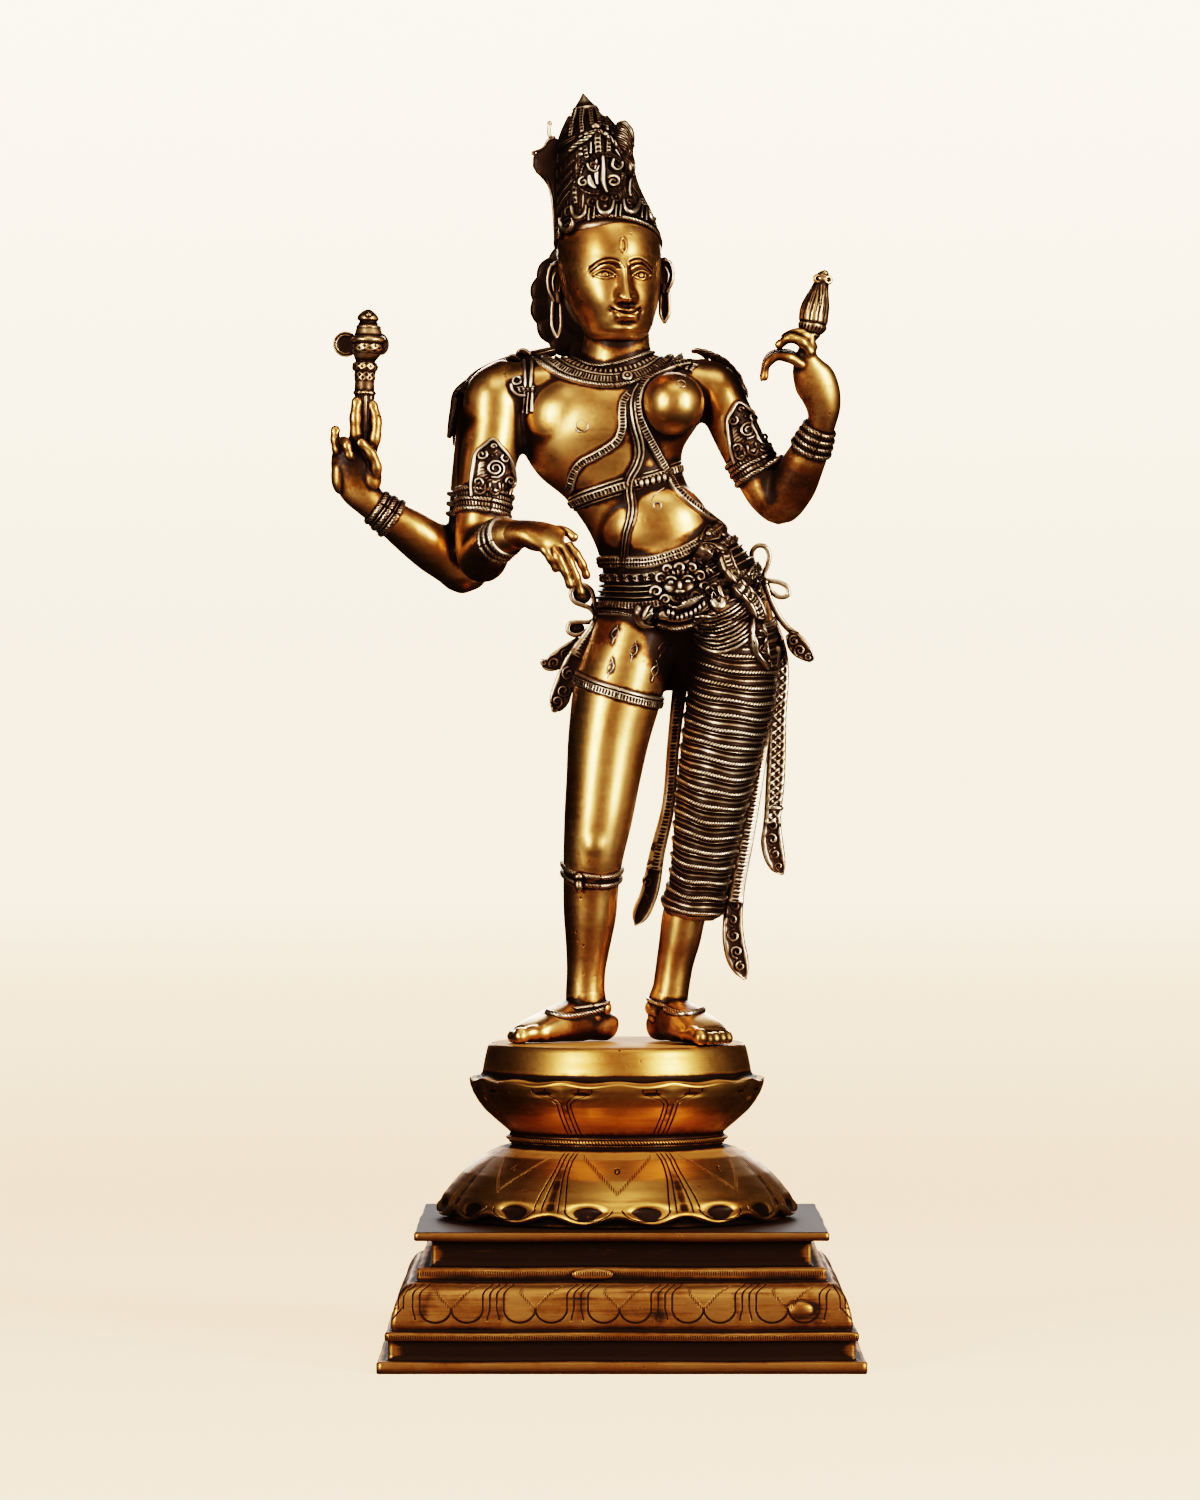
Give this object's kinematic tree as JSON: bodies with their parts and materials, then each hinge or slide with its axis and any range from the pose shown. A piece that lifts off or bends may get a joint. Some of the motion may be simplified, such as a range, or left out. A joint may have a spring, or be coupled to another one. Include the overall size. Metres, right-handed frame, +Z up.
{
  "type": "ardhanarishvara figure",
  "caption": "Standing brass deity figure, half male and half female, with raised and lowered arms and a tall crown, on a round lotus pedestal and a square stepped plinth.",
  "frame": {"origin": "centre of the square plinth's underside", "axes": "+Z up, the figure faces -Y, its raised axe hand is at -X and its lotus hand at +X"},
  "size_m": [0.3164, 0.284, 0.7556],
  "materials": {
    "figure_brass": "polished on the raised forms, dark brown patina in the recesses",
    "pedestal_brass": "burnished, dark brown patina in the grooves and hollows",
    "plinth_brass": "dark brown patina, rubbed bright along the edges"
  },
  "bodies": {
    "root": {"figure": "figure_brass", "lotus_pedestal": "pedestal_brass", "square_plinth": "plinth_brass"}
  },
  "joints": []
}
